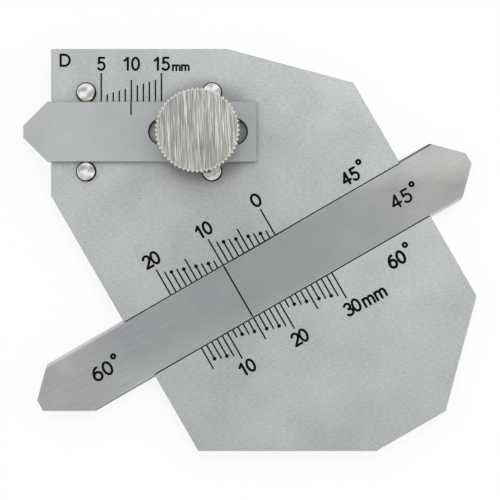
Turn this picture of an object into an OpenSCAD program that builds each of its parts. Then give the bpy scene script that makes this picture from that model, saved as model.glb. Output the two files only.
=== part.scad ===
// Weld gauge: a flat plate with a dovetail measuring bar and a clamped depth slide.
// Millimetres. The plate lies on its back, +Z up, with the origin in the middle of its back face.

/* [Plate] */
// Thickness of the plate
plate_t = 3; // [2.8:0.1:5]
// Length of the top edge
top_edge = 29.3; // [26:0.1:35]
// Length of the sloping shoulder to the right of the top edge
shoulder_edge = 21.7; // [18:0.1:26]
// Slope of the shoulder below level
shoulder_angle = 15; // [10:1:20]
// Length of the right edge, which the groove crosses at its middle
right_edge = 40.9; // [34:0.1:44]
// Length of the edge below the right corner
nose_edge = 19.8; // [14:0.1:23]
// Lean of that edge from upright
nose_angle = 15; // [8:1:22]
// Length of the bevel between that edge and the bottom edge
corner_edge = 13.3; // [8:0.1:18]
// Slope of that bevel above level
corner_slope = 30; // [20:1:40]
// Length of the left edge
left_edge = 24.4; // [23:0.1:30]
// Small bevel along the edges of the plate and the slide
edge_break = 0.15; // [0.05:0.05:0.4]

/* [Measuring bar] */
// Direction of the groove above level
groove_angle = 30; // [25:1:35]
// Width of the bar at its top face
bar_w = 10; // [8:0.1:12]
// Thickness of the bar
bar_t = 1.5; // [1.2:0.1:1.8]
// Lean of the dovetail flanks from upright
flank_angle = 15; // [5:1:25]
// Gap between the bar and each flank of the groove
bar_gap = 0.12; // [0.05:0.01:0.3]
// Gap between the bar and the floor of the groove
bar_float = 0.05; // [0.02:0.01:0.1]
// Distance from the lower end of the groove to the bar's index line
index_from_edge = 19; // [16:0.1:22]
// Distance from the index line to the bar's lower tip
bar_lower_reach = 38; // [34:0.1:44]
// Distance from the index line to the bar's upper tip
bar_upper_reach = 44.2; // [40:0.1:50]
// Width of the flat at each tip of the bar
bar_tip_flat = 2; // [1:0.1:4]
// Slope of the bar's end edges from the bar's length
bar_end_angle = 45; // [35:1:55]

/* [Bar spring] */
// Length of the leaf spring under the bar
spring_l = 24; // [16:0.5:26]
// Width of the leaf spring
spring_w = 4; // [3:0.1:6]
// Thickness of the leaf spring
spring_t = 0.25; // [0.15:0.05:0.3]
// Rise of the spring's bow
spring_rise = 0.4; // [0.25:0.05:0.5]
// Room around the spring in its pocket
spring_room = 0.4; // [0.2:0.1:0.8]
// Gap between the spring's crown and the bar
spring_gap = 0.02; // [0.01:0.01:0.04]

/* [Depth slide] */
// Width of the slide
slide_w = 10; // [8:0.1:11]
// Thickness of the slide
slide_t = 1.2; // [0.8:0.1:2]
// Distance from the plate's top edge to the slide's centre line
slide_drop = 13.8; // [12.5:0.1:14.5]
// Distance from the plate's left edge to the slide's index line
slide_index = 13.35; // [12:0.05:15]
// Distance from the index line to the slide's tip
slide_tip_reach = 17.85; // [15:0.05:21]
// Width of the flat at the slide's tip
slide_tip_flat = 2; // [1:0.1:4]
// Slope of the edges of the slide's tip
slide_tip_angle = 45; // [35:1:55]
// Travel of the slide to each side before its slot meets the screw
slide_travel = 6; // [4:0.1:7]
// Gap between the screw and each side of the slot
slot_gap = 0.08; // [0.05:0.01:0.2]
// Wall between the slot and the slide's square end
slot_wall = 1.6; // [1:0.1:3]
// Bevel along the slot's upper edge
slot_bevel = 0.2; // [0.1:0.05:0.4]

/* [Guide pins] */
// Diameter of the guide pins
pin_d = 3; // [2:0.1:3.4]
// Distance from the plate's left edge to the left pins
pin_inset = 5.85; // [4:0.05:7]
// Distance between the left pins and the right pins
pin_pitch = 20.9; // [18:0.1:24]
// Gap between the slide and each pin
pin_gap = 0.05; // [0.03:0.01:0.1]
// Bevel on a pin's end
pin_bevel = 0.15; // [0.05:0.05:0.3]
// Width of the relief ring round a pin at the plate's face
relief_w = 0.15; // [0.1:0.05:0.3]
// Depth of the relief ring
relief_depth = 1.2; // [0.2:0.1:1.5]
// Depth of the pins' and the screw's ends below the plate's back face
back_recess = 0.2; // [0.1:0.05:0.5]

/* [Thumb screw] */
// Distance from the slide's index line to the screw's axis
screw_offset = 11.1; // [10:0.1:12]
// Diameter of the knurled head over its teeth
head_d = 14; // [11:0.1:17]
// Height of the knurled head
head_h = 4.4; // [3:0.1:7]
// Bevel at the head's upper and lower rim
head_bevel = 0.45; // [0.2:0.05:0.8]
// Number of teeth of the knurl
knurl_teeth = 56; // [40:1:70]
// Depth of the knurl
knurl_depth = 0.4; // [0.2:0.05:0.6]
// Diameter of the collar that bears on the slide
collar_d = 9; // [7:0.1:10]
// Height of the collar
collar_h = 2.3; // [1.5:0.1:4]
// Gap between the collar and the slide
collar_gap = 0.05; // [0.02:0.01:0.1]
// Diameter of the screw's shank
screw_d = 4; // [3:0.1:5]
// Running gap between the shank and its hole, on the radius
screw_gap = 0.05; // [0.02:0.01:0.1]

/* [Scales] */
// Distance between neighbouring marks
mark_pitch = 1; // [0.9:0.05:1.1]
// Width of a mark
mark_w = 0.26; // [0.1:0.02:0.3]
// Depth of a mark
mark_depth = 0.1; // [0.05:0.05:0.2]
// Length of the marks at tens, beside the groove
ten_mark = 4.9; // [4:0.1:6]
// Length of the marks at fives, beside the groove
five_mark = 4; // [3:0.1:5]
// Length of the mark after a ten, beside the groove
first_mark = 1.38; // [1:0.02:2]
// Growth from one mark to the next, beside the groove
mark_growth = 0.31; // [0.2:0.01:0.4]
// Diameter of the dot at the end of even marks
dot_d = 0.64; // [0.4:0.02:0.7]
// Length of the outer marks of the depth scale
depth_end_mark = 4.8; // [4:0.1:5.5]
// Length of the middle mark of the depth scale
depth_middle_mark = 3.65; // [3:0.05:4.5]
// Length of the depth scale's shortest mark
depth_first_mark = 1.25; // [1:0.05:2]
// Growth from one mark to the next on the depth scale
depth_growth = 0.3; // [0.2:0.01:0.35]
// Length of the slide's index line
slide_mark = 2.24; // [1.5:0.02:2.6]

/* [Hidden] */
$fn = 96;

// Readings at rest, and the ends of the three scales
upper_reading = 10;
upper_last = 20;
lower_reading = 15;
lower_first = 5;
lower_last = 30;
depth_reading = 10;
depth_first = 5;
depth_last = 15;

// How far a cut runs past the face it opens
cut_over = 1;

// Corners of the plate, clockwise from the top left
plate_w = top_edge + shoulder_edge * cos(shoulder_angle) + right_edge * sin(groove_angle);
plate_h = shoulder_edge * sin(shoulder_angle) + right_edge * cos(groove_angle)
    + nose_edge * cos(nose_angle) + corner_edge * sin(corner_slope);
plate_left = -plate_w / 2;
plate_top = plate_h / 2;
top_left = [plate_left, plate_top];
top_right = top_left + [top_edge, 0];
shoulder = top_right + shoulder_edge * [cos(shoulder_angle), -sin(shoulder_angle)];
right = shoulder + right_edge * [sin(groove_angle), -cos(groove_angle)];
nose = right - nose_edge * [sin(nose_angle), cos(nose_angle)];
bottom_right = [nose.x - corner_edge * cos(corner_slope), -plate_top];
bottom_left = [plate_left + (plate_h - left_edge) * tan(groove_angle), -plate_top];
left_foot = top_left - [0, left_edge];
plate_outline = [top_left, top_right, shoulder, right, nose, bottom_right, bottom_left, left_foot];

// Groove: its centre line meets the right edge at its middle and leaves by the lower left edge
groove_along = [cos(groove_angle), sin(groove_angle)];
groove_end = (shoulder + right) / 2;
groove_l = (groove_end - left_foot) * groove_along;
index_point = groove_end - (groove_l - index_from_edge) * groove_along;
bar_base_z = plate_t - bar_t;
groove_floor_z = bar_base_z - bar_float;
groove_mouth = bar_w + 2 * bar_gap;

// Spring: its crown lies just under the bar, and its ends stand on the pocket's floor
spring_crown_z = bar_base_z - spring_gap;
pocket_floor_z = spring_crown_z - spring_rise - spring_t;
spring_r = (spring_l * spring_l / 4 + spring_rise * spring_rise) / (2 * spring_rise);
spring_x = groove_l / 2 - index_from_edge;

// Slide, pins and screw, all on the slide's centre line
slide_y = plate_top - slide_drop;
slide_x = plate_left + slide_index;
slot_w = screw_d + 2 * slot_gap;
slide_tail_reach = screw_offset + slide_travel + slot_w / 2 + slot_wall;
pin_x = [plate_left + pin_inset, plate_left + pin_inset + pin_pitch];
pin_out = slide_w / 2 + pin_gap + pin_d / 2;
slide_top_z = plate_t + slide_t;
collar_z = slide_top_z + collar_gap;
head_z = collar_z + collar_h;

// Moves its children from the index line's place on the groove, X along the groove, to the plate
module on_groove() {
    translate([index_point.x, index_point.y, 0])
        rotate([0, 0, groove_angle])
            children();
}

// Moves its children from the slide's index line to the plate
module on_slide() {
    translate([slide_x, slide_y, 0])
        children();
}

// Wedges that cut the upper edges of a convex plate back at 45 degrees; the outline runs clockwise
module edge_bevel(outline, top_z, size) {
    for (i = [0 : len(outline) - 1]) {
        start = outline[i];
        run = outline[(i + 1) % len(outline)] - start;
        translate([start.x, start.y, top_z - size])
            rotate([45, 0, atan2(run.y, run.x)])
                translate([-cut_over, 0, -cut_over])
                    cube([norm(run) + 2 * cut_over, cut_over, 2 * cut_over]);
    }
}

// Section across the dovetail, top_w wide at top_z, with its upper corners cut back by corner
module dovetail(top_w, top_z, base_z, corner) {
    spread = tan(flank_angle);
    half = top_w / 2;
    depth = top_z - base_z;
    polygon([[corner - half, top_z], [half - corner, top_z],
             [half + corner * spread, top_z - corner],
             [half + depth * spread, base_z], [-half - depth * spread, base_z],
             [-half - corner * spread, top_z - corner]]);
}

// Sweeps a section in Y and Z along X
module along_x(from, to) {
    translate([from, 0, 0])
        rotate([90, 0, 90])
            linear_extrude(to - from)
                children();
}

// A straight cut along Y in a face at Z = 0
module mark_cut(from, to) {
    translate([-mark_w / 2, from, -mark_depth])
        cube([mark_w, to - from, mark_depth + cut_over]);
}

// The dot that ends an even mark
module dot_cut(length) {
    translate([0, length - dot_d / 2, -mark_depth])
        cylinder(h = mark_depth + cut_over, d = dot_d);
}

// Length of a mark beside the groove, by its last digit
function groove_mark(digit) =
    digit == 0 ? ten_mark :
    digit == 5 ? five_mark : first_mark + (digit - 1) * mark_growth;

// Length of a mark of the depth scale
function depth_mark(value) =
    value == depth_reading ? depth_middle_mark :
    value == depth_first || value == depth_last ? depth_end_mark :
    depth_first_mark + (value - depth_first - 1) * depth_growth;

// One mark beside the groove, with its dot where its last digit is even
module groove_mark_cut(value) {
    digit = value % 10;
    mark_cut(0, groove_mark(digit));
    if (digit > 0 && digit % 2 == 0)
        dot_cut(groove_mark(digit));
}

// All marks of the plate's three scales
module scale_cuts() {
    on_groove() {
        for (value = [0 : upper_last])
            translate([(upper_reading - value) * mark_pitch, groove_mouth / 2, plate_t])
                groove_mark_cut(value);
        for (value = [lower_first : lower_last])
            translate([(value - lower_reading) * mark_pitch, -groove_mouth / 2, plate_t])
                rotate([0, 0, 180])
                    groove_mark_cut(value);
    }
    on_slide()
        for (value = [depth_first : depth_last])
            translate([(value - depth_reading) * mark_pitch, slide_w / 2, plate_t])
                mark_cut(0, depth_mark(value));
}

// Dovetail groove and the spring's pocket in its floor
module groove_cut() {
    on_groove() {
        along_x(-index_from_edge - cut_over, groove_l - index_from_edge + cut_over) {
            dovetail(groove_mouth, plate_t, groove_floor_z, 0);
            translate([-groove_mouth / 2, plate_t - cut_over / 2])
                square([groove_mouth, cut_over]);
        }
        translate([spring_x - spring_l / 2 - spring_room, -spring_w / 2 - spring_room, pocket_floor_z])
            cube([spring_l + 2 * spring_room, spring_w + 2 * spring_room, bar_t]);
    }
}

// Holes for the pins, with a relief ring at the face, and for the screw
module hole_cuts() {
    for (x = pin_x, side = [-1, 1])
        translate([x, slide_y + side * pin_out, 0]) {
            translate([0, 0, -cut_over])
                cylinder(h = plate_t + 2 * cut_over, d = pin_d);
            translate([0, 0, plate_t - relief_depth])
                cylinder(h = relief_depth + cut_over, d = pin_d + 2 * relief_w);
        }
    on_slide()
        translate([screw_offset, 0, -cut_over])
            cylinder(h = plate_t + 2 * cut_over, d = screw_d + 2 * screw_gap);
}

module base_plate() {
    color("silver")
        difference() {
            linear_extrude(plate_t)
                polygon(plate_outline);
            edge_bevel(plate_outline, plate_t, edge_break);
            translate([0, 0, plate_t])
                mirror([0, 0, 1])
                    edge_bevel(plate_outline, plate_t, edge_break);
            groove_cut();
            hole_cuts();
            scale_cuts();
        }
}

// Both ends come to a blunt point; the lower edge of the near end is level on the plate
module measuring_bar() {
    half = bar_w / 2 + bar_t * tan(flank_angle);
    flat_half = bar_tip_flat / 2;
    end_l = (half - flat_half) / tan(bar_end_angle);
    level_l = (half - flat_half) / tan(groove_angle);
    color("darkgray")
        on_groove()
            difference() {
                intersection() {
                    along_x(-bar_lower_reach, bar_upper_reach)
                        dovetail(bar_w, plate_t, bar_base_z, edge_break);
                    linear_extrude(plate_t + cut_over)
                        polygon([[-bar_lower_reach, flat_half], [end_l - bar_lower_reach, half],
                                 [bar_upper_reach - end_l, half], [bar_upper_reach, flat_half],
                                 [bar_upper_reach, -flat_half], [bar_upper_reach - end_l, -half],
                                 [level_l - bar_lower_reach, -half], [-bar_lower_reach, -flat_half]]);
                }
                translate([0, 0, plate_t])
                    mark_cut(-half, half);
            }
}

// A strip bent to an arc, crown up
module bar_spring() {
    color("dimgray")
        on_groove()
            translate([spring_x, 0, spring_crown_z - spring_r - spring_t])
                rotate([90, 0, 0])
                    intersection() {
                        difference() {
                            cylinder(h = spring_w, r = spring_r + spring_t, center = true);
                            cylinder(h = spring_w + cut_over, r = spring_r, center = true);
                        }
                        translate([-spring_l / 2, spring_r - spring_rise, -spring_w / 2])
                            cube([spring_l, spring_rise + spring_t + cut_over, spring_w]);
                    }
}

module depth_slide() {
    half = slide_w / 2;
    flat_half = slide_tip_flat / 2;
    tip_l = (half - flat_half) / tan(slide_tip_angle);
    outline = [[-slide_tip_reach, flat_half], [tip_l - slide_tip_reach, half],
               [slide_tail_reach, half], [slide_tail_reach, -half],
               [tip_l - slide_tip_reach, -half], [-slide_tip_reach, -flat_half]];
    color("lightgray")
        on_slide()
            difference() {
                translate([0, 0, plate_t])
                    linear_extrude(slide_t)
                        polygon(outline);
                edge_bevel(outline, slide_top_z, edge_break);
                translate([screw_offset, 0, plate_t - cut_over]) {
                    for (end = [-1, 1])
                        translate([end * slide_travel, 0, 0])
                            cylinder(h = slide_t + 2 * cut_over, d = slot_w);
                    translate([-slide_travel, -slot_w / 2, 0])
                        cube([2 * slide_travel, slot_w, slide_t + 2 * cut_over]);
                }
                translate([screw_offset, 0, slide_top_z - slot_bevel]) {
                    for (end = [-1, 1])
                        translate([end * slide_travel, 0, 0])
                            cylinder(h = 2 * slot_bevel, r1 = slot_w / 2, r2 = slot_w / 2 + 2 * slot_bevel);
                    along_x(-slide_travel, slide_travel)
                        polygon([[-slot_w / 2, 0], [slot_w / 2, 0],
                                 [slot_w / 2 + 2 * slot_bevel, 2 * slot_bevel],
                                 [-slot_w / 2 - 2 * slot_bevel, 2 * slot_bevel]]);
                }
                translate([0, 0, slide_top_z])
                    mark_cut(half - slide_mark, half + cut_over);
            }
}

// A straight pin with a bevelled upper end, level with the slide
module guide_pin(x, side) {
    straight_h = slide_top_z - pin_bevel - back_recess;
    color("gainsboro")
        translate([x, slide_y + side * pin_out, back_recess]) {
            cylinder(h = straight_h, d = pin_d);
            translate([0, 0, straight_h])
                cylinder(h = pin_bevel, r1 = pin_d / 2, r2 = pin_d / 2 - pin_bevel);
        }
}

module guide_pin_upper_left() {
    guide_pin(pin_x[0], 1);
}

module guide_pin_upper_right() {
    guide_pin(pin_x[1], 1);
}

module guide_pin_lower_left() {
    guide_pin(pin_x[0], -1);
}

module guide_pin_lower_right() {
    guide_pin(pin_x[1], -1);
}

// Straight knurl: teeth around the rim, each a plain V
module knurl_outline() {
    crest = head_d / 2;
    polygon([for (i = [0 : 2 * knurl_teeth - 1])
        let (r = i % 2 == 0 ? crest : crest - knurl_depth, turn = 180 * i / knurl_teeth)
        r * [cos(turn), sin(turn)]]);
}

// Turned in one piece: shank, collar and knurled head; the rims' bevels run out past the teeth
module thumb_screw() {
    crest = head_d / 2;
    color("darkkhaki")
        on_slide()
            translate([screw_offset, 0, 0]) {
                translate([0, 0, back_recess])
                    cylinder(h = collar_z - back_recess, d = screw_d);
                translate([0, 0, collar_z])
                    cylinder(h = collar_h, d = collar_d);
                translate([0, 0, head_z])
                    intersection() {
                        linear_extrude(head_h)
                            knurl_outline();
                        rotate_extrude()
                            polygon([[0, 0], [crest - head_bevel, 0],
                                     [crest + head_bevel, 2 * head_bevel],
                                     [crest + head_bevel, head_h - 2 * head_bevel],
                                     [crest - head_bevel, head_h], [0, head_h]]);
                    }
            }
}

base_plate();
measuring_bar();
bar_spring();
depth_slide();
guide_pin_upper_left();
guide_pin_upper_right();
guide_pin_lower_left();
guide_pin_lower_right();
thumb_screw();
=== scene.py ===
# Weld gauge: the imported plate, bar, spring, slide, pins and screw, finished in ground stainless steel
# with black scales. The gauge lies on its back; +Z is up out of the marked face, as in the frame.
import math

import bpy
import numpy as np
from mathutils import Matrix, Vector


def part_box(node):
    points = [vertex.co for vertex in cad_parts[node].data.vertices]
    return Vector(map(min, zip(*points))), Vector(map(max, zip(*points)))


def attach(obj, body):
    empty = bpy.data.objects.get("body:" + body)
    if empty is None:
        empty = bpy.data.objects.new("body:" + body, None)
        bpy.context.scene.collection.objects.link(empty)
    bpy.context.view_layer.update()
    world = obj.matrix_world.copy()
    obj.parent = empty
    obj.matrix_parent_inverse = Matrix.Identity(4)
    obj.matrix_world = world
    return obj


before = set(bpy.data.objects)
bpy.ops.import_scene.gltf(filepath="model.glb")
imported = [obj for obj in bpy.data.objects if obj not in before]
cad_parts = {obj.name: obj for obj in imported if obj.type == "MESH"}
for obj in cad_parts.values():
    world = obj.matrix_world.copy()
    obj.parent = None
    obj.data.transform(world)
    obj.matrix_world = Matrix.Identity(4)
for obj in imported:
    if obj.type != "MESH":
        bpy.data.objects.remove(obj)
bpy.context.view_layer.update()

# Gauge plate: stainless sheet milled to its eight-cornered outline, with the dovetail groove and the holes
# cut into it. Its faces are ground on a belt, so they carry short fine scratches and a soft, cloudy shine.
mm = 0.001
plate_low, plate_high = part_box("base_plate")
plate_left = plate_low.x
plate_top_edge = plate_high.y
plate_face = plate_high.z


def linear(hex_colour):
    """sRGB hex to linear RGBA: each channel goes back through the sRGB curve."""
    srgb = np.array([int(hex_colour[i:i + 2], 16) for i in (1, 3, 5)]) / 255
    decoded = np.where(srgb <= 0.04045, srgb / 12.92, ((srgb + 0.055) / 1.055) ** 2.4)
    return (*decoded.tolist(), 1.0)


def add_node(tree, kind, settings=None, values=None, links=None):
    """Adds one node. Settings are its properties, values its sockets' constants, and links its sockets'
    sources."""
    node = tree.nodes.new(kind)
    for name, value in (settings or {}).items():
        setattr(node, name, value)
    for socket, value in (values or {}).items():
        node.inputs[socket].default_value = value
    for socket, source in (links or {}).items():
        tree.links.new(source, node.inputs[socket])
    return node


def ground_steel(name, tones, grain_deg, line, streak, cloud, cloud_share, roughness, relief, spread=0.2):
    """Ground steel. Noise stretched to streaks along the grain and a broad cloudy noise are mixed, and span
    two tones over a band of the noise. The mix sways the roughness, and the streaks alone give the relief."""
    material = bpy.data.materials.new(name)
    material.use_nodes = True
    tree = material.node_tree
    shader = tree.nodes["Principled BSDF"]
    shader.inputs["Metallic"].default_value = 1.0
    place = add_node(tree, "ShaderNodeTexCoord").outputs["Object"]
    along = add_node(
        tree, "ShaderNodeMapping", {"vector_type": "TEXTURE"},
        {"Rotation": (0, 0, math.radians(grain_deg)), "Scale": (streak, line, line)}, {"Vector": place})
    streaks = add_node(
        tree, "ShaderNodeTexNoise", None,
        {"Scale": 1.0, "Detail": 3.0, "Roughness": 0.6}, {"Vector": along.outputs["Vector"]})
    clouds = add_node(
        tree, "ShaderNodeTexNoise", None,
        {"Scale": 1 / cloud, "Detail": 2.0, "Roughness": 0.5}, {"Vector": place})
    mixed = add_node(
        tree, "ShaderNodeMix", {"data_type": "FLOAT"}, {0: cloud_share},
        {2: streaks.outputs["Fac"], 3: clouds.outputs["Fac"]})
    tone = add_node(
        tree, "ShaderNodeMapRange", None,
        {"From Min": 0.5 - spread, "From Max": 0.5 + spread}, {"Value": mixed.outputs[0]})
    colour = add_node(
        tree, "ShaderNodeMix", {"data_type": "RGBA"},
        {6: linear(tones[0]), 7: linear(tones[1])}, {0: tone.outputs["Result"]})
    rough = add_node(
        tree, "ShaderNodeMapRange", None,
        {"To Min": roughness[1], "To Max": roughness[0]}, {"Value": tone.outputs["Result"]})
    bump = add_node(
        tree, "ShaderNodeBump", None, {"Strength": 1.0, "Distance": relief},
        {"Height": streaks.outputs["Fac"]})
    tree.links.new(colour.outputs[2], shader.inputs["Base Color"])
    tree.links.new(rough.outputs["Result"], shader.inputs["Roughness"])
    tree.links.new(bump.outputs["Normal"], shader.inputs["Normal"])
    return material


def faces_near(tree, up, within):
    """1 on faces whose normal's upward part lies within a limit of the given one, and 0 on all others."""
    normal = add_node(tree, "ShaderNodeNewGeometry").outputs["Normal"]
    parts = add_node(tree, "ShaderNodeSeparateXYZ", None, None, {"Vector": normal})
    near = add_node(
        tree, "ShaderNodeMath", {"operation": "COMPARE"}, {1: up, 2: within}, {0: parts.outputs["Z"]})
    return near.outputs[0]


def painted_shade_round(tree, colour, place, inner, outer, share):
    """Paints shade about a place by dulling a colour: to the share within the inner distance, and less and
    less, on a smooth step, out to the outer distance."""
    from_place = add_node(
        tree, "ShaderNodeMapping", {"vector_type": "TEXTURE"}, {"Location": place},
        {"Vector": add_node(tree, "ShaderNodeTexCoord").outputs["Object"]})
    distance = add_node(
        tree, "ShaderNodeVectorMath", {"operation": "LENGTH"}, None, {0: from_place.outputs["Vector"]})
    left = add_node(
        tree, "ShaderNodeMapRange", {"interpolation_type": "SMOOTHSTEP"},
        {"From Min": inner, "From Max": outer, "To Min": share}, {"Value": distance.outputs["Value"]})
    dulled = add_node(
        tree, "ShaderNodeVectorMath", {"operation": "SCALE"}, None,
        {0: colour, "Scale": left.outputs["Result"]})
    return dulled.outputs["Vector"]


def dress(node, material):
    """Puts a finish on every material slot of a CAD node."""
    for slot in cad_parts[node].material_slots:
        slot.material = material


# Real belt scratches are about 0.02 mm wide; they are drawn 0.25 mm wide so that they show at all.
plate_steel = ground_steel(
    "stainless_belt_ground", tones=("#a4a7a7", "#c1c4c3"), grain_deg=0.0,
    line=0.25 * mm, streak=0.7 * mm, cloud=9 * mm, cloud_share=0.4, roughness=(0.5, 0.58), relief=0.004 * mm)
# Painted light and shade: the plate is painted darker about a point in its middle and lighter towards its
# edges, and most towards its top edge.
painted_light_reach = 28 * mm
painted_shade_middle = (plate_left + 32 * mm, plate_top_edge - 30 * mm, plate_face)
painted_shade_share = 0.86
painted_light_share = 1.04
bottom_share = 0.925
top_share = 1.095
tree = plate_steel.node_tree
shader = tree.nodes["Principled BSDF"]
plate_place = add_node(tree, "ShaderNodeTexCoord").outputs["Object"]
from_middle = add_node(
    tree, "ShaderNodeMapping", {"vector_type": "TEXTURE"}, {"Location": painted_shade_middle},
    {"Vector": plate_place})
distance = add_node(
    tree, "ShaderNodeVectorMath", {"operation": "LENGTH"}, None, {0: from_middle.outputs["Vector"]})
painted_light = add_node(
    tree, "ShaderNodeMapRange", None,
    {"From Max": painted_light_reach, "To Min": painted_shade_share, "To Max": painted_light_share},
    {"Value": distance.outputs["Value"]})
up_plate = add_node(tree, "ShaderNodeSeparateXYZ", None, None, {"Vector": plate_place})
painted_lighter_top = add_node(
    tree, "ShaderNodeMapRange", None,
    {"From Min": plate_low.y, "From Max": plate_high.y, "To Min": bottom_share, "To Max": top_share},
    {"Value": up_plate.outputs["Y"]})
painted_light_factor = add_node(
    tree, "ShaderNodeMath", {"operation": "MULTIPLY"}, None,
    {0: painted_light.outputs["Result"], 1: painted_lighter_top.outputs["Result"]})
light_painted_colour = add_node(
    tree, "ShaderNodeVectorMath", {"operation": "SCALE"}, None,
    {0: shader.inputs["Base Color"].links[0].from_socket, "Scale": painted_light_factor.outputs[0]})
# Painted shadow round the thumb screw's head, most on its right, where its middle is set off from the axis,
# and a
# # fainter painted shade in the plate's upper left corner.
screw_low, screw_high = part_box("thumb_screw")
screw_axis = (screw_low + screw_high) / 2
shadow_offset = 1.2 * mm
screw_shadow_middle = (screw_axis.x + shadow_offset, screw_axis.y, plate_face)
corner_shade_place = (plate_left + 8 * mm, plate_top_edge, plate_face)
screw_shadowed_colour = painted_shade_round(
    tree, light_painted_colour.outputs["Vector"], screw_shadow_middle, inner=6.9 * mm, outer=10 * mm, share=0.66)
corner_shaded_colour = painted_shade_round(tree, screw_shadowed_colour, corner_shade_place, inner=4 * mm, outer=30 * mm, share=0.9)
# The groove's overhanging flanks, which alone lean downward, are milled, and are painted near black as the
# shade under the overhang.
flank_deg = 15.0
flank_up = -math.sin(math.radians(flank_deg))
flank_within = 0.1
flank_shade_colour = "#2e2f2f"
plate_colour = add_node(
    tree, "ShaderNodeMix", {"data_type": "RGBA"}, {7: linear(flank_shade_colour)},
    {0: faces_near(tree, flank_up, flank_within), 6: corner_shaded_colour})
tree.links.new(plate_colour.outputs[2], shader.inputs["Base Color"])
dress("base_plate", plate_steel)

# Scale marks: cuts 0.26 mm wide and 0.1 mm deep along the groove and above the slide, filled with black
# enamel that is wiped flush and sinks a little as it dries. Beside the groove, the even marks between the
# tens end in a round dot.
groove_deg = 30.0
mark_half = 0.13 * mm
mark_depth = 0.1 * mm
mark_pitch = 1 * mm
ten_mark = 4.9 * mm
five_mark = 4.0 * mm
first_mark = 1.38 * mm
mark_growth = 0.31 * mm
dot_half = 0.32 * mm
depth_end_mark = 4.8 * mm
depth_middle_mark = 3.65 * mm
depth_first_mark = 1.25 * mm
depth_growth = 0.3 * mm
groove_half = 5.12 * mm
slide_half = 5 * mm
upper_reading = 10
lower_reading = 15
depth_reading = 10
index_point = np.array([plate_left + 31.1111 * mm, plate_top_edge - 40.2860 * mm])
slide_point = np.array([plate_left + 13.35 * mm, plate_top_edge - 13.8 * mm])
sunk_edge = 0.006 * mm
sunk_middle = 0.02 * mm


def on_groove(path):
    """Points along and across the groove, counted from the bar's index line, turned onto the plate."""
    turn = math.radians(groove_deg)
    along = np.array([math.cos(turn), math.sin(turn)])
    across = np.array([-math.sin(turn), math.cos(turn)])
    path = np.asarray(path, float)
    return index_point + path[:, :1] * along + path[:, 1:] * across


def on_slide(path):
    """Points counted from the slide's index line, along the plate's top edge and up the plate."""
    return slide_point + np.asarray(path, float)


def carried(path, half, profile, round_ends=False, closed=False):
    """A closed profile carried along a flat path. Each profile point is a share of the half width, set off
    along the path's normal, and a height. Past a round end by half * sin t, the half width falls to
    half * cos t."""
    path = np.asarray(path, float)
    run = np.roll(path, -1, 0) - np.roll(path, 1, 0) if closed else np.gradient(path, axis=0)
    run = run / np.linalg.norm(run, axis=1, keepdims=True)
    width = np.full(len(path), half)
    if round_ends:
        last_deg = 80
        end_steps = 6
        past = np.radians(np.linspace(0, last_deg, end_steps + 1)[1:])[:, None]
        path = np.concatenate([path[0] - half * np.sin(past[::-1]) * run[0], path,
                               path[-1] + half * np.sin(past) * run[-1]])
        width = half * np.concatenate([np.cos(past[::-1, 0]), np.ones(len(run)), np.cos(past[:, 0])])
        run = np.concatenate([np.repeat(run[:1], len(past), 0), run, np.repeat(run[-1:], len(past), 0)])
    normal = np.stack([-run[:, 1], run[:, 0]], 1)
    share, height = np.asarray(profile, float).T
    flat = path[:, None] + normal[:, None] * (width[:, None] * share)[..., None]
    level = np.broadcast_to(height[None, :, None], (*flat.shape[:2], 1))
    points = np.concatenate([flat, level], 2).reshape(-1, 3)
    steps, around = flat.shape[:2]
    row = np.arange(steps if closed else steps - 1)[:, None] * around
    next_row = (row + around) % (steps * around)
    column = np.arange(around)
    next_column = (column + 1) % around
    quads = np.stack([row + column, next_row + column, next_row + next_column, row + next_column], -1)
    caps = np.empty((0, around), int) if closed else np.stack([column, (steps - 1) * around + column[::-1]])
    return points, quads.reshape(-1, 4), caps


def piece(name, parts, material, body):
    """Joins carried parts into one mesh object at the origin, which rides on a body."""
    starts = np.cumsum([0] + [len(points) for points, _, _ in parts])
    points = np.concatenate([part[0] for part in parts])
    quads = np.concatenate([part[1] + start for part, start in zip(parts, starts)])
    caps = np.concatenate([part[2] + start for part, start in zip(parts, starts)])
    mesh = bpy.data.meshes.new(name)
    mesh.from_pydata(points, [], quads.tolist() + caps.tolist())
    mesh.materials.append(material)
    made = bpy.data.objects.new(name, mesh)
    bpy.context.scene.collection.objects.link(made)
    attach(made, body)


def fill_profile(face):
    """Section of a filled cut: flat below, and above a shallow hollow that is lowest at the middle."""
    floor = face - mark_depth
    edge = face - sunk_edge
    middle = face - sunk_middle
    return [(-1, floor), (-1, edge), (-0.5, (edge + 2 * middle) / 3), (0, middle),
            (0.5, (edge + 2 * middle) / 3), (1, edge), (1, floor)]


def groove_mark(value):
    """Length of a mark beside the groove: longest at tens, then at fives, and growing with the last digit
    between."""
    digit = value % 10
    return {0: ten_mark, 5: five_mark}.get(digit, first_mark + (digit - 1) * mark_growth)


def depth_mark(value):
    """Length of a mark of the depth scale: long at 5 and 15, middling at 10, and growing with the value
    between."""
    named = {5: depth_end_mark, 10: depth_middle_mark, 15: depth_end_mark}
    return named.get(value, depth_first_mark + (value - 6) * depth_growth)


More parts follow.
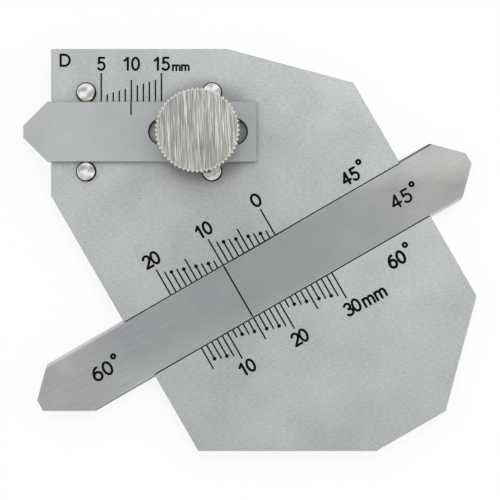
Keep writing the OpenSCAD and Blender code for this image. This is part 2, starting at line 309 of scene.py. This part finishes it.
def black_enamel_and_shade(name):
    """Black enamel for the marks, also used as the near-black painted shade in the pins' reliefs: near black
    and hardly glossy, with a faint grey bloom of specks that is noise at the specks' size and sways the
    roughness too."""
    speck = 0.3 * mm
    darkest = "#040404"
    bloomed = "#0d0d0e"
    specular = 0.04
    roughness = (0.5, 0.7)
    material = bpy.data.materials.new(name)
    material.use_nodes = True
    tree = material.node_tree
    shader = tree.nodes["Principled BSDF"]
    shader.inputs["Specular IOR Level"].default_value = specular
    place = add_node(tree, "ShaderNodeTexCoord").outputs["Object"]
    bloom = add_node(
        tree, "ShaderNodeTexNoise", None,
        {"Scale": 1 / speck, "Detail": 2.0, "Roughness": 0.5}, {"Vector": place})
    colour = add_node(
        tree, "ShaderNodeMix", {"data_type": "RGBA"},
        {6: linear(darkest), 7: linear(bloomed)}, {0: bloom.outputs["Fac"]})
    rough = add_node(
        tree, "ShaderNodeMapRange", None, {"To Min": roughness[0], "To Max": roughness[1]},
        {"Value": bloom.outputs["Fac"]})
    tree.links.new(colour.outputs[2], shader.inputs["Base Color"])
    tree.links.new(rough.outputs["Result"], shader.inputs["Roughness"])
    return material


enamel = black_enamel_and_shade("black_enamel_baked")
fill = fill_profile(plate_face)
fills = []
for side, values, reading in ((1, range(0, 21), upper_reading), (-1, range(5, 31), lower_reading)):
    for value in values:
        x = side * (reading - value) * mark_pitch
        end = groove_half + groove_mark(value)
        fills.append(carried(on_groove([(x, side * groove_half), (x, side * end)]), mark_half, fill))
        if value % 10 in (2, 4, 6, 8):
            dot = on_groove([(x, side * (end - dot_half)), (x, side * (end - dot_half + mark_half / 10))])
            fills.append(carried(dot, dot_half, fill, round_ends=True))
for value in range(5, 16):
    x = (value - depth_reading) * mark_pitch
    fills.append(carried(
        on_slide([(x, slide_half), (x, slide_half + depth_mark(value))]), mark_half, fill))
piece("scale_marks", fills, enamel, "plate")

# Plate numerals: the scales' numbers, the depth scale's letter and the two angles, screened in the same black
# enamel. Each is drawn in even strokes with round ends, as a film about a hundredth of a millimetre thick.
stroke_half = 0.21 * mm
depth_stroke_half = 0.19 * mm
small_stroke_half = 0.162 * mm
degree_stroke_half = 0.2 * mm
film = 0.012 * mm
film_sink = 0.004 * mm
digit_half = np.array([0.57, 1.0]) * mm
letter_half = np.array([0.75, 0.92]) * mm
small_m_half = np.array([0.57, 0.43]) * mm
large_m_half = np.array([0.85, 0.68]) * mm
wide_nought_half = np.array([0.67, 1.01]) * mm
degree_half = np.array([0.33, 0.33]) * mm
degree_rise = 1.4 * mm


def arc(x, y, wide, high, start, stop):
    """An arc of an ellipse about x, y: half width times cosine and half height times sine, from one angle in
    degrees to another in even steps."""
    step_deg = 12
    turn = np.radians(np.linspace(start, stop, max(3, round(abs(stop - start) / step_deg) + 1)))
    return np.stack([x + wide * np.cos(turn), y + high * np.sin(turn)], 1)


def glyph(sign):
    """Strokes of a sign in a box from -1 to 1 each way, as pairs of a path and whether it closes."""
    ring = (arc(0, 0, 1, 1, 0, 348), True)
    strokes = {
        "0": [ring],
        "°": [ring],
        "1": [([(-0.75, 0.5), (0.2, 1)], False), ([(0.2, 1), (0.2, -1)], False)],
        "2": [(np.concatenate([arc(0, 0.42, 0.92, 0.58, 160, -45), [(-0.95, -1)]]), False),
              ([(-0.95, -1), (1, -1)], False)],
        "3": [(arc(-0.1, 0.51, 0.88, 0.49, 150, -90), False),
              (arc(-0.1, -0.49, 1.05, 0.51, 90, -150), False)],
        "4": [([(0.4, 1), (-1.1, -0.42)], False), ([(-1.1, -0.42), (1.1, -0.42)], False),
              ([(0.4, 1), (0.4, -1)], False)],
        "5": [([(0.8, 1), (-0.62, 1)], False), ([(-0.62, 1), (-0.7, 0.14)], False),
              (arc(-0.05, -0.37, 1, 0.63, 130, -145), False)],
        "6": [(arc(0, -0.36, 1, 0.64, 0, 348), True), (arc(0.65, -0.36, 1.65, 1.36, 180, 92), False)],
        "D": [([(-1, -1), (-1, 1)], False),
              (np.concatenate([[(-1, 1)], arc(-0.1, 0, 1.1, 1, 90, -90), [(-1, -1)]]), False)],
        "m": [([(-1, -1), (-1, 1)], False),
              (np.concatenate([arc(-0.5, 0.35, 0.5, 0.65, 180, 0), [(0, -1)]]), False),
              (np.concatenate([arc(0.5, 0.35, 0.5, 0.65, 180, 0), [(1, -1)]]), False)],
    }
    return strokes[sign]


def film_profile(face):
    """Section of a printed stroke: sunk a hair into the face, with upright edges and a gently crowned top."""
    low = face - film_sink
    edge = face + film / 2
    crown = face + film
    return [(-1, low), (-1, edge), (-0.5, (edge + 3 * crown) / 4), (0, crown),
            (0.5, (edge + 3 * crown) / 4), (1, edge), (1, low)]


def row_of_signs(text, middle, pitch, half, placed, face, pen=stroke_half):
    """Strokes of a row of signs, one every pitch, with middle between the first and the last."""
    parts = []
    for i, sign in enumerate(text):
        centre = np.array(middle, float) + [(i - (len(text) - 1) / 2) * pitch, 0]
        size, width = half, pen
        if sign == "°":
            centre = centre + [0, degree_rise]
            size, width = degree_half, degree_stroke_half
        for path, closed in glyph(sign):
            parts.append(carried(placed(centre + np.asarray(path) * size), width, film_profile(face),
                                 round_ends=not closed, closed=closed))
    return parts


digit_pitch = 1.4 * mm
angle_pitch = 1.56 * mm
sixty_pitch = 1.61 * mm
sixty_stroke_half = 0.232 * mm
numeral_gap = 1.65 * mm
upper_shift = 0.05 * mm
upper_middle = groove_half + ten_mark + numeral_gap + upper_shift
upper_lean = 0.08 * mm
lower_middle = -(groove_half + ten_mark + numeral_gap)
lower_pitch = 1.008 * mm
print_skew = 0.0055
depth_shift = -0.13 * mm
depth_middle = slide_half + depth_end_mark + numeral_gap + depth_shift
large_m_place = (19.13 * mm, -12.19 * mm)
large_m_pitch = 2.25 * mm
small_m_place = (8.22 * mm, 10.66 * mm)
small_m_pitch = 1.5 * mm
letter_place = (-10.99 * mm, 11.91 * mm)
forty_five_place = (26.45 * mm, 7.25 * mm)
sixty_place = (26.22 * mm, -8.55 * mm)
numerals = []
for text, value, half in (("0", 0, wide_nought_half), ("10", 10, digit_half), ("20", 20, digit_half)):
    x = (upper_reading - value) * mark_pitch
    spot = (x + upper_lean, upper_middle - print_skew * x)
    numerals += row_of_signs(text, spot, digit_pitch, half, on_groove, plate_face)
for text, value in (("10", 10), ("20", 20), ("30", 30)):
    x = (value - lower_reading) * lower_pitch
    spot = (x, lower_middle - print_skew * x)
    numerals += row_of_signs(text, spot, digit_pitch, digit_half, on_groove, plate_face)
for text, value in (("5", 5), ("10", 10), ("15", 15)):
    spot = ((value - depth_reading) * mark_pitch, depth_middle)
    numerals += row_of_signs(text, spot, digit_pitch, digit_half, on_slide, plate_face, depth_stroke_half)
numerals += row_of_signs("mm", large_m_place, large_m_pitch, large_m_half, on_groove, plate_face)
numerals += row_of_signs(
    "mm", small_m_place, small_m_pitch, small_m_half, on_slide, plate_face, small_stroke_half)
numerals += row_of_signs("D", letter_place, 0, letter_half, on_slide, plate_face, depth_stroke_half)
numerals += row_of_signs("45°", forty_five_place, angle_pitch, digit_half, on_groove, plate_face)
numerals += row_of_signs(
    "60°", sixty_place, sixty_pitch, digit_half, on_groove, plate_face, sixty_stroke_half)
piece("plate_numerals", numerals, enamel, "plate")

# Bar spring: a bowed strip of hard rolled spring steel that lies loose in its pocket under the bar. Rolling
# leaves a dark blue-grey skin with long straight lines, drawn 0.1 mm wide, coarser than they are.
spring_steel = ground_steel(
    "spring_steel_rolled", tones=("#6c7076", "#83878c"), grain_deg=groove_deg,
    line=0.1 * mm, streak=12 * mm, cloud=8 * mm, cloud_share=0.3, roughness=(0.3, 0.38), relief=0.001 * mm)
dress("bar_spring", spring_steel)

# Measuring bar: a stainless dovetail bar, ground lengthwise on a wheel, so it is smoother and darker than the
# plate and mirrors the room more. Its index line is filled and its angles are screened as on the plate.
bar_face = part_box("measuring_bar")[1].z
# Real wheel marks are about 0.02 mm wide; they are drawn 0.22 mm wide so that they show.
bar_steel = ground_steel(
    "stainless_wheel_ground", tones=("#a6aaac", "#c5c9c9"), grain_deg=groove_deg,
    line=0.22 * mm, streak=3 * mm, cloud=8 * mm, cloud_share=0.58, roughness=(0.13, 0.19), relief=0.0006 * mm)
# The bar is tinted warmer and a little lighter towards its two ends.
groove_turn = math.radians(groove_deg)
along_bar = (math.cos(groove_turn), math.sin(groove_turn), 0)
across_bar = (-math.sin(groove_turn), math.cos(groove_turn), 0)
end_tint_start = 20 * mm
end_tint_full = 37 * mm
end_tint = (1.06, 1.02, 0.97)
tree = bar_steel.node_tree
shader = tree.nodes["Principled BSDF"]
from_index = add_node(
    tree, "ShaderNodeMapping", {"vector_type": "TEXTURE"}, {"Location": (*index_point, 0)},
    {"Vector": add_node(tree, "ShaderNodeTexCoord").outputs["Object"]})
along = add_node(
    tree, "ShaderNodeVectorMath", {"operation": "DOT_PRODUCT"}, {1: along_bar},
    {0: from_index.outputs["Vector"]})
from_line = add_node(tree, "ShaderNodeMath", {"operation": "ABSOLUTE"}, None, {0: along.outputs["Value"]})
end_tint_share = add_node(
    tree, "ShaderNodeMapRange", None, {"From Min": end_tint_start, "From Max": end_tint_full},
    {"Value": from_line.outputs[0]})
tint = add_node(
    tree, "ShaderNodeMix", {"data_type": "VECTOR"}, {4: (1, 1, 1), 5: end_tint},
    {0: end_tint_share.outputs["Result"]})
tinted_colour = add_node(
    tree, "ShaderNodeVectorMath", {"operation": "MULTIPLY"}, None,
    {0: shader.inputs["Base Color"].links[0].from_socket, 1: tint.outputs[1]})
# Use has rubbed the bar matt at the upper corner of its upper end, and less along its lower edge, most at the
# lower end. Each wear has a way along and across the bar, the places on it where it starts and is full, and
# the gain in roughness there.
corner_wear = ((1, 2.2), (35 * mm, 50 * mm), 3.0)
edge_wear = ((-0.12, -1), (2.4 * mm, 8 * mm), 1.55)
for (way_along, way_across), (wear_start, wear_full), wear_gain in (corner_wear, edge_wear):
    wear_way = tuple(way_along * np.array(along_bar) + way_across * np.array(across_bar))
    on_way = add_node(
        tree, "ShaderNodeVectorMath", {"operation": "DOT_PRODUCT"}, {1: wear_way},
        {0: from_index.outputs["Vector"]})
    wear = add_node(
        tree, "ShaderNodeMapRange", None,
        {"From Min": wear_start, "From Max": wear_full, "To Min": 1.0, "To Max": wear_gain},
        {"Value": on_way.outputs["Value"]})
    worn_rough = add_node(
        tree, "ShaderNodeMath", {"operation": "MULTIPLY"}, None,
        {0: shader.inputs["Roughness"].links[0].from_socket, 1: wear.outputs["Result"]})
    tree.links.new(worn_rough.outputs[0], shader.inputs["Roughness"])
# Painted shade: at its upper end the bar's upper flank, and at its lower end its lower flank, are painted
# dark, and
# # the other two flank ends keep the steel's colour.
shaded_flank_least = 0.9
shaded_flank_colour = "#5c5f60"
flank_side = add_node(
    tree, "ShaderNodeVectorMath", {"operation": "DOT_PRODUCT"}, {1: across_bar},
    {0: add_node(tree, "ShaderNodeNewGeometry").outputs["Normal"]})
bar_end = add_node(tree, "ShaderNodeMath", {"operation": "SIGN"}, None, {0: along.outputs["Value"]})
corner_side = add_node(
    tree, "ShaderNodeMath", {"operation": "MULTIPLY"}, None,
    {0: flank_side.outputs["Value"], 1: bar_end.outputs[0]})
shaded_flank = add_node(
    tree, "ShaderNodeMath", {"operation": "GREATER_THAN"}, {1: shaded_flank_least},
    {0: corner_side.outputs[0]})
bar_colour = add_node(
    tree, "ShaderNodeMix", {"data_type": "RGBA"}, {7: linear(shaded_flank_colour)},
    {0: shaded_flank.outputs[0], 6: tinted_colour.outputs["Vector"]})
tree.links.new(bar_colour.outputs[2], shader.inputs["Base Color"])
dress("measuring_bar", bar_steel)
bar_half = 4.9 * mm
bar_line = carried(on_groove([(0, -bar_half), (0, bar_half)]), mark_half, fill_profile(bar_face))
piece("bar_index_line", [bar_line], enamel, "bar")
bar_pitch = 1.95 * mm
bar_digit_rise = -0.19 * mm
bar_degree_rise = -0.355 * mm
bar_forty_five_half = np.array([0.68, 1.05]) * mm
bar_forty_five_stroke_half = 0.19 * mm
bar_sixty_half = np.array([0.67, 1.04]) * mm
bar_forty_five_along = 31.12 * mm
bar_sixty_along = -26.18 * mm
bar_degrees_along = (33.83 * mm, -23.4 * mm)
bar_numerals = row_of_signs(
    "45", (bar_forty_five_along, bar_digit_rise), bar_pitch, bar_forty_five_half, on_groove, bar_face,
    bar_forty_five_stroke_half)
bar_numerals += row_of_signs(
    "60", (bar_sixty_along, bar_digit_rise), bar_pitch, bar_sixty_half, on_groove, bar_face)
for x in bar_degrees_along:
    bar_numerals += row_of_signs("°", (x, bar_degree_rise), 0, degree_half, on_groove, bar_face)
piece("bar_numerals", bar_numerals, enamel, "bar")

# Depth slide: a thin stainless strip with a slot and a pointed tip, ground along its length, so faint lines
# run along it. It lies on the plate between the pins, and its short index line is filled with enamel too.
slide_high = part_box("depth_slide")[1]
slide_face = slide_high.z
slide_mark = 2.24 * mm
slide_line_inset = 0.04 * mm
# Real grinding lines are about 0.02 mm wide; they are drawn 0.2 mm wide so that they show.
slide_steel = ground_steel(
    "stainless_strip_ground", tones=("#acafb0", "#b9bbbc"), grain_deg=0.0,
    line=0.2 * mm, streak=4 * mm, cloud=8 * mm, cloud_share=0.6, roughness=(0.44, 0.52), relief=0.001 * mm)
# Its edges and the walls of its slot are left as they were blanked, dark and matt, and the bevel round the
# slot is
# # painted dark as the shade by the screw's head. Each is told by how far its faces look up, and the bevel
# also by its place.
edge_up = 0.0
edge_within = 0.5
edge_colour = "#6f7273"
bevel_up = 0.7
bevel_within = 0.2
shaded_bevel_colour = "#505253"
tree = slide_steel.node_tree
shader = tree.nodes["Principled BSDF"]
edged_colour = add_node(
    tree, "ShaderNodeMix", {"data_type": "RGBA"}, {7: linear(edge_colour)},
    {0: faces_near(tree, edge_up, edge_within), 6: shader.inputs["Base Color"].links[0].from_socket})
slot_reach = (9.5 * mm, 4.6 * mm, 1.0)
from_slot = add_node(
    tree, "ShaderNodeMapping", {"vector_type": "TEXTURE"},
    {"Location": (screw_axis.x, screw_axis.y, 0), "Scale": slot_reach},
    {"Vector": add_node(tree, "ShaderNodeTexCoord").outputs["Object"]})
slot_distance = add_node(
    tree, "ShaderNodeVectorMath", {"operation": "LENGTH"}, None, {0: from_slot.outputs["Vector"]})
by_slot = add_node(
    tree, "ShaderNodeMath", {"operation": "LESS_THAN"}, {1: 1.0}, {0: slot_distance.outputs["Value"]})
shaded_slot_bevel = add_node(
    tree, "ShaderNodeMath", {"operation": "MULTIPLY"}, None,
    {0: by_slot.outputs[0], 1: faces_near(tree, bevel_up, bevel_within)})
bevel_shaded_colour = add_node(
    tree, "ShaderNodeMix", {"data_type": "RGBA"}, {7: linear(shaded_bevel_colour)},
    {0: shaded_slot_bevel.outputs[0], 6: edged_colour.outputs[2]})
# Painted shade darkens the slide towards its square end.
slide_shade_place = (slide_high.x, screw_axis.y, slide_face)
slide_shaded_colour = painted_shade_round(
    tree, bevel_shaded_colour.outputs[2], slide_shade_place, inner=2 * mm, outer=42 * mm, share=0.88)
tree.links.new(slide_shaded_colour, shader.inputs["Base Color"])
dress("depth_slide", slide_steel)
slide_line = on_slide([(0, slide_half - slide_mark), (0, slide_half - slide_line_inset)])
piece("slide_index_line", [carried(slide_line, mark_half, fill_profile(slide_face))], enamel, "slide")


# Guide pins: four bright stainless dowels pressed into the plate, level with the slide. Their ends are faced
# on a lathe and worn uneven, so that the light breaks into soft patches, and their sides are dark.
def turned_steel(name, axis, tones, side_colour, ring, wave, roughness, relief, swell):
    """Turned steel: rings about an axis mix two tones, and the upright sides have a colour of their own. The
    rings, and broader waves that are higher by the swell, give the relief."""
    material = bpy.data.materials.new(name)
    material.use_nodes = True
    tree = material.node_tree
    shader = tree.nodes["Principled BSDF"]
    shader.inputs["Metallic"].default_value = 1.0
    shader.inputs["Roughness"].default_value = roughness
    place = add_node(tree, "ShaderNodeTexCoord").outputs["Object"]
    centred = add_node(
        tree, "ShaderNodeMapping", {"vector_type": "TEXTURE"}, {"Location": (axis[0], axis[1], 0)},
        {"Vector": place})
    # At a scale of 1 the wave texture repeats every twentieth of a full turn's radians.
    wave_period = math.tau / 20
    rings = add_node(
        tree, "ShaderNodeTexWave", {"wave_type": "RINGS", "rings_direction": "Z"},
        {"Scale": wave_period / ring, "Distortion": 0.6, "Detail": 2.0},
        {"Vector": centred.outputs["Vector"]})
    colour = add_node(
        tree, "ShaderNodeMix", {"data_type": "RGBA"},
        {6: linear(tones[0]), 7: linear(tones[1])}, {0: rings.outputs["Fac"]})
    waves = add_node(
        tree, "ShaderNodeTexNoise", None,
        {"Scale": 1 / wave, "Detail": 0.0}, {"Vector": place})
    height = add_node(
        tree, "ShaderNodeMath", {"operation": "MULTIPLY_ADD"}, {1: swell},
        {0: waves.outputs["Fac"], 2: rings.outputs["Fac"]})
    bump = add_node(
        tree, "ShaderNodeBump", None, {"Strength": 1.0, "Distance": relief}, {"Height": height.outputs[0]})
    sided = add_node(
        tree, "ShaderNodeMix", {"data_type": "RGBA"}, {7: linear(side_colour)},
        {0: faces_near(tree, edge_up, edge_within), 6: colour.outputs[2]})
    tree.links.new(sided.outputs[2], shader.inputs["Base Color"])
    tree.links.new(bump.outputs["Normal"], shader.inputs["Normal"])
    return material


# Real tool marks are about 0.05 mm apart; they are drawn 0.25 mm apart so that they show.
pin_middles = []
for corner in ("upper_left", "upper_right", "lower_left", "lower_right"):
    pin_low, pin_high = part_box("guide_pin_" + corner)
    pin_middles.append((pin_low + pin_high) / 2)
    pin_steel = turned_steel(
        "stainless_turned_" + corner, axis=pin_middles[-1], tones=("#c3c2bd", "#d6d5d0"),
        side_colour="#55544f", ring=0.25 * mm, wave=1.3 * mm, roughness=0.2, relief=0.002 * mm, swell=120.0)
    dress("guide_pin_" + corner, pin_steel)
# A black ring of painted shade fills the mouth of the narrow relief round each pin and stands a hair above
# the plate's face.
pin_radius = 1.5 * mm
relief_wide = 0.22 * mm
painted_shade_half = 0.1 * mm
painted_shade_face = plate_face + 0.006 * mm
painted_shade_floor = plate_face - 0.004 * mm
painted_shade_section = [(-1, painted_shade_floor), (-1, painted_shade_face), (1, painted_shade_face), (1, painted_shade_floor)]
painted_shade_step_deg = 7.5
painted_shade_turn = np.radians(np.arange(0, 360, painted_shade_step_deg))[:, None]
painted_shade_ring = (pin_radius + relief_wide / 2) * np.concatenate([np.cos(painted_shade_turn), np.sin(painted_shade_turn)], 1)
painted_shade = black_enamel_and_shade("black_painted_shade_in_gap")
painted_shade_rings = [carried(painted_shade_ring + np.array(middle[:2]), painted_shade_half, painted_shade_section, closed=True)
                for middle in pin_middles]
piece("pin_relief_painted_shade", painted_shade_rings, painted_shade, "plate")

# Thumb screw: one turned piece, knurled straight round the rim and nickel plated, which gives it a warm tone.
# Its top is drawn over coarse paper, so long bright and dark lines run across it, and the rolled teeth are
# burnished. Real lines are about 0.03 mm wide; they are drawn two or three times as wide so that they show.
drawn_deg = 92.0
drawn_radius = 6.5 * mm
burnished_radius = 6.62 * mm
burnished_roughness = 0.22
burnished_colour = "#cfcec7"
screw_steel = ground_steel(
    "nickel_plated_steel_paper_drawn", tones=("#7a7873", "#a9a7a1"), grain_deg=drawn_deg,
    line=0.08 * mm, streak=6 * mm, cloud=4 * mm, cloud_share=0.2, roughness=(0.32, 0.44), relief=0.008 * mm,
    spread=0.16)
tree = screw_steel.node_tree
shader = tree.nodes["Principled BSDF"]
drawn_colour = shader.inputs["Base Color"].links[0].from_socket
drawn_rough = shader.inputs["Roughness"].links[0].from_socket
from_axis = add_node(
    tree, "ShaderNodeMapping", {"vector_type": "TEXTURE"}, {"Location": (screw_axis.x, screw_axis.y, 0)},
    {"Vector": add_node(tree, "ShaderNodeTexCoord").outputs["Object"]})
flat = add_node(
    tree, "ShaderNodeVectorMath", {"operation": "MULTIPLY"}, {1: (1, 1, 0)}, {0: from_axis.outputs["Vector"]})
radius = add_node(tree, "ShaderNodeVectorMath", {"operation": "LENGTH"}, None, {0: flat.outputs["Vector"]})
rim = add_node(
    tree, "ShaderNodeMapRange", None, {"From Min": drawn_radius, "From Max": burnished_radius},
    {"Value": radius.outputs["Value"]})
# Deeper single scratches are bright: they run where a second noise, stretched along the drawing, is high.
# Drawn by hand, they wander sideways by some hundredths of a millimetre on their way.
scratch_wide = 0.062 * mm
scratch_long = 5 * mm
scratch_from = 0.53
scratch_full = 0.67
scratch_colour = "#f0efea"
wander_every = 0.8 * mm
wander_reach = 0.18 * mm
screw_place = add_node(tree, "ShaderNodeTexCoord").outputs["Object"]
wander = add_node(
    tree, "ShaderNodeTexNoise", None, {"Scale": 1 / wander_every, "Detail": 1.0}, {"Vector": screw_place})
wandered = add_node(
    tree, "ShaderNodeVectorMath", {"operation": "MULTIPLY_ADD"}, {1: (wander_reach, wander_reach, 0)},
    {0: wander.outputs["Color"], 2: screw_place})
scratch_place = add_node(
    tree, "ShaderNodeMapping", {"vector_type": "TEXTURE"},
    {"Rotation": (0, 0, math.radians(drawn_deg)), "Scale": (scratch_long, scratch_wide, scratch_wide)},
    {"Vector": wandered.outputs["Vector"]})
scratch_noise = add_node(
    tree, "ShaderNodeTexNoise", None, {"Scale": 1.0, "Detail": 1.0, "Roughness": 0.5},
    {"Vector": scratch_place.outputs["Vector"]})
scratch = add_node(
    tree, "ShaderNodeMapRange", None, {"From Min": scratch_from, "From Max": scratch_full},
    {"Value": scratch_noise.outputs["Fac"]})
scratched_colour = add_node(
    tree, "ShaderNodeMix", {"data_type": "RGBA"}, {7: linear(scratch_colour)},
    {0: scratch.outputs["Result"], 6: drawn_colour})
screw_colour = add_node(
    tree, "ShaderNodeMix", {"data_type": "RGBA"}, {7: linear(burnished_colour)},
    {0: rim.outputs["Result"], 6: scratched_colour.outputs[2]})
screw_rough = add_node(
    tree, "ShaderNodeMix", {"data_type": "FLOAT"}, {3: burnished_roughness},
    {0: rim.outputs["Result"], 2: drawn_rough})
tree.links.new(screw_colour.outputs[2], shader.inputs["Base Color"])
tree.links.new(screw_rough.outputs[0], shader.inputs["Roughness"])
dress("thumb_screw", screw_steel)

# Studio: a table of white laminate, which stands in a light tent beside one soft box. It shows white to the
# camera and to the metal, and still takes a share of the gauge's shadow.
floor_half = 3.0
floor_drop = 0.05 * mm
shadow_share = 0.18
table_colour = "#f8f8f8"
corners = np.array([(-1, -1, 0), (1, -1, 0), (1, 1, 0), (-1, 1, 0)]) * floor_half - [0, 0, floor_drop]
table_mesh = bpy.data.meshes.new("white_table")
table_mesh.from_pydata(corners, [], [(0, 1, 2, 3)])
table = bpy.data.objects.new("white_table", table_mesh)
bpy.context.scene.collection.objects.link(table)
table_white = bpy.data.materials.new("white_table_laminate")
table_white.use_nodes = True
tree = table_white.node_tree
tree.nodes.clear()
path_kind = add_node(tree, "ShaderNodeLightPath").outputs
camera_or_glossy = add_node(
    tree, "ShaderNodeMath", {"operation": "MAXIMUM"}, None,
    {0: path_kind["Is Camera Ray"], 1: path_kind["Is Glossy Ray"]})
seen = add_node(
    tree, "ShaderNodeMath", {"operation": "MAXIMUM"}, None,
    {0: camera_or_glossy.outputs[0], 1: path_kind["Is Transmission Ray"]})
white_share = add_node(
    tree, "ShaderNodeMath", {"operation": "MULTIPLY"}, {1: 1 - shadow_share}, {0: seen.outputs[0]})
matt = add_node(tree, "ShaderNodeBsdfDiffuse", None, {"Color": linear(table_colour)})
white = add_node(tree, "ShaderNodeEmission", None, {"Strength": 1.0})
laminate = add_node(
    tree, "ShaderNodeMixShader", None, None,
    {0: white_share.outputs[0], 1: matt.outputs[0], 2: white.outputs[0]})
add_node(tree, "ShaderNodeOutputMaterial", None, None, {"Surface": laminate.outputs[0]})
table_mesh.materials.append(table_white)

# The room is a light tent: white walls, brighter high up at the far side, and overhead a dimmer opening for
# the camera, which the bar mirrors.
wall_light = 1.01
opening_light = 0.44
opening_edge_deg = 9.0
bright_side = (-0.2, 0.98, 0)
bright_gain = 2.2
bright_fade = 3.0
room = bpy.data.worlds.new("light_tent")
room.use_nodes = True
tree = room.node_tree
toward = add_node(tree, "ShaderNodeTexCoord").outputs["Generated"]
upward = add_node(tree, "ShaderNodeSeparateXYZ", None, None, {"Vector": toward})
from_above = add_node(tree, "ShaderNodeMath", {"operation": "ARCCOSINE"}, None, {0: upward.outputs["Z"]})
tent = add_node(
    tree, "ShaderNodeMapRange", {"interpolation_type": "SMOOTHSTEP"},
    {"From Max": math.radians(opening_edge_deg), "To Min": opening_light, "To Max": wall_light},
    {"Value": from_above.outputs[0]})
# The lean is taken times a power of the upward part, so that it fades out towards the horizon.
sideways = add_node(
    tree, "ShaderNodeVectorMath", {"operation": "DOT_PRODUCT"}, {1: bright_side}, {0: toward})
fade = add_node(
    tree, "ShaderNodeMath", {"operation": "POWER", "use_clamp": True}, {1: bright_fade},
    {0: upward.outputs["Z"]})
high_side = add_node(
    tree, "ShaderNodeMath", {"operation": "MULTIPLY"}, None,
    {0: sideways.outputs["Value"], 1: fade.outputs[0]})
lean = add_node(
    tree, "ShaderNodeMath", {"operation": "MULTIPLY_ADD"}, {1: bright_gain, 2: 1.0},
    {0: high_side.outputs[0]})
tent_light = add_node(
    tree, "ShaderNodeMath", {"operation": "MULTIPLY"}, None,
    {0: tent.outputs["Result"], 1: lean.outputs[0]})
tree.nodes["Background"].inputs["Color"].default_value = linear("#ffffff")
tree.links.new(tent_light.outputs[0], tree.nodes["Background"].inputs["Strength"])
bpy.context.scene.world = room


def soft_box(name, place, side, brightness):
    """A square area lamp aimed at the gauge; its power is brightness times pi times its area."""
    lamp = bpy.data.lights.new(name, "AREA")
    lamp.shape = "SQUARE"
    lamp.size = side
    lamp.energy = brightness * math.pi * side * side
    made = bpy.data.objects.new(name, lamp)
    made.location = place
    made.rotation_euler = (-Vector(place)).to_track_quat("-Z", "Y").to_euler()
    bpy.context.scene.collection.objects.link(made)


soft_box("soft_box_right", place=(0.44, -0.06, 0.4), side=0.48, brightness=1.0)

# The camera looks straight down. The picture's middle is counted right from the plate's left edge and down
# from its top edge, and the picture's width is taken at the plate's face.
picture_right = 33.06 * mm
picture_down = 33.41 * mm
picture_wide = 83.06 * mm
camera_height = 450 * mm
lens_data = bpy.data.cameras.new("camera")
lens_data.sensor_width = 36
lens_data.lens = lens_data.sensor_width * camera_height / picture_wide
camera = bpy.data.objects.new("camera", lens_data)
camera.location = (plate_left + picture_right, plate_top_edge - picture_down, plate_face + camera_height)
bpy.context.scene.collection.objects.link(camera)
bpy.context.scene.camera = camera
bpy.context.scene.view_settings.view_transform = "Standard"
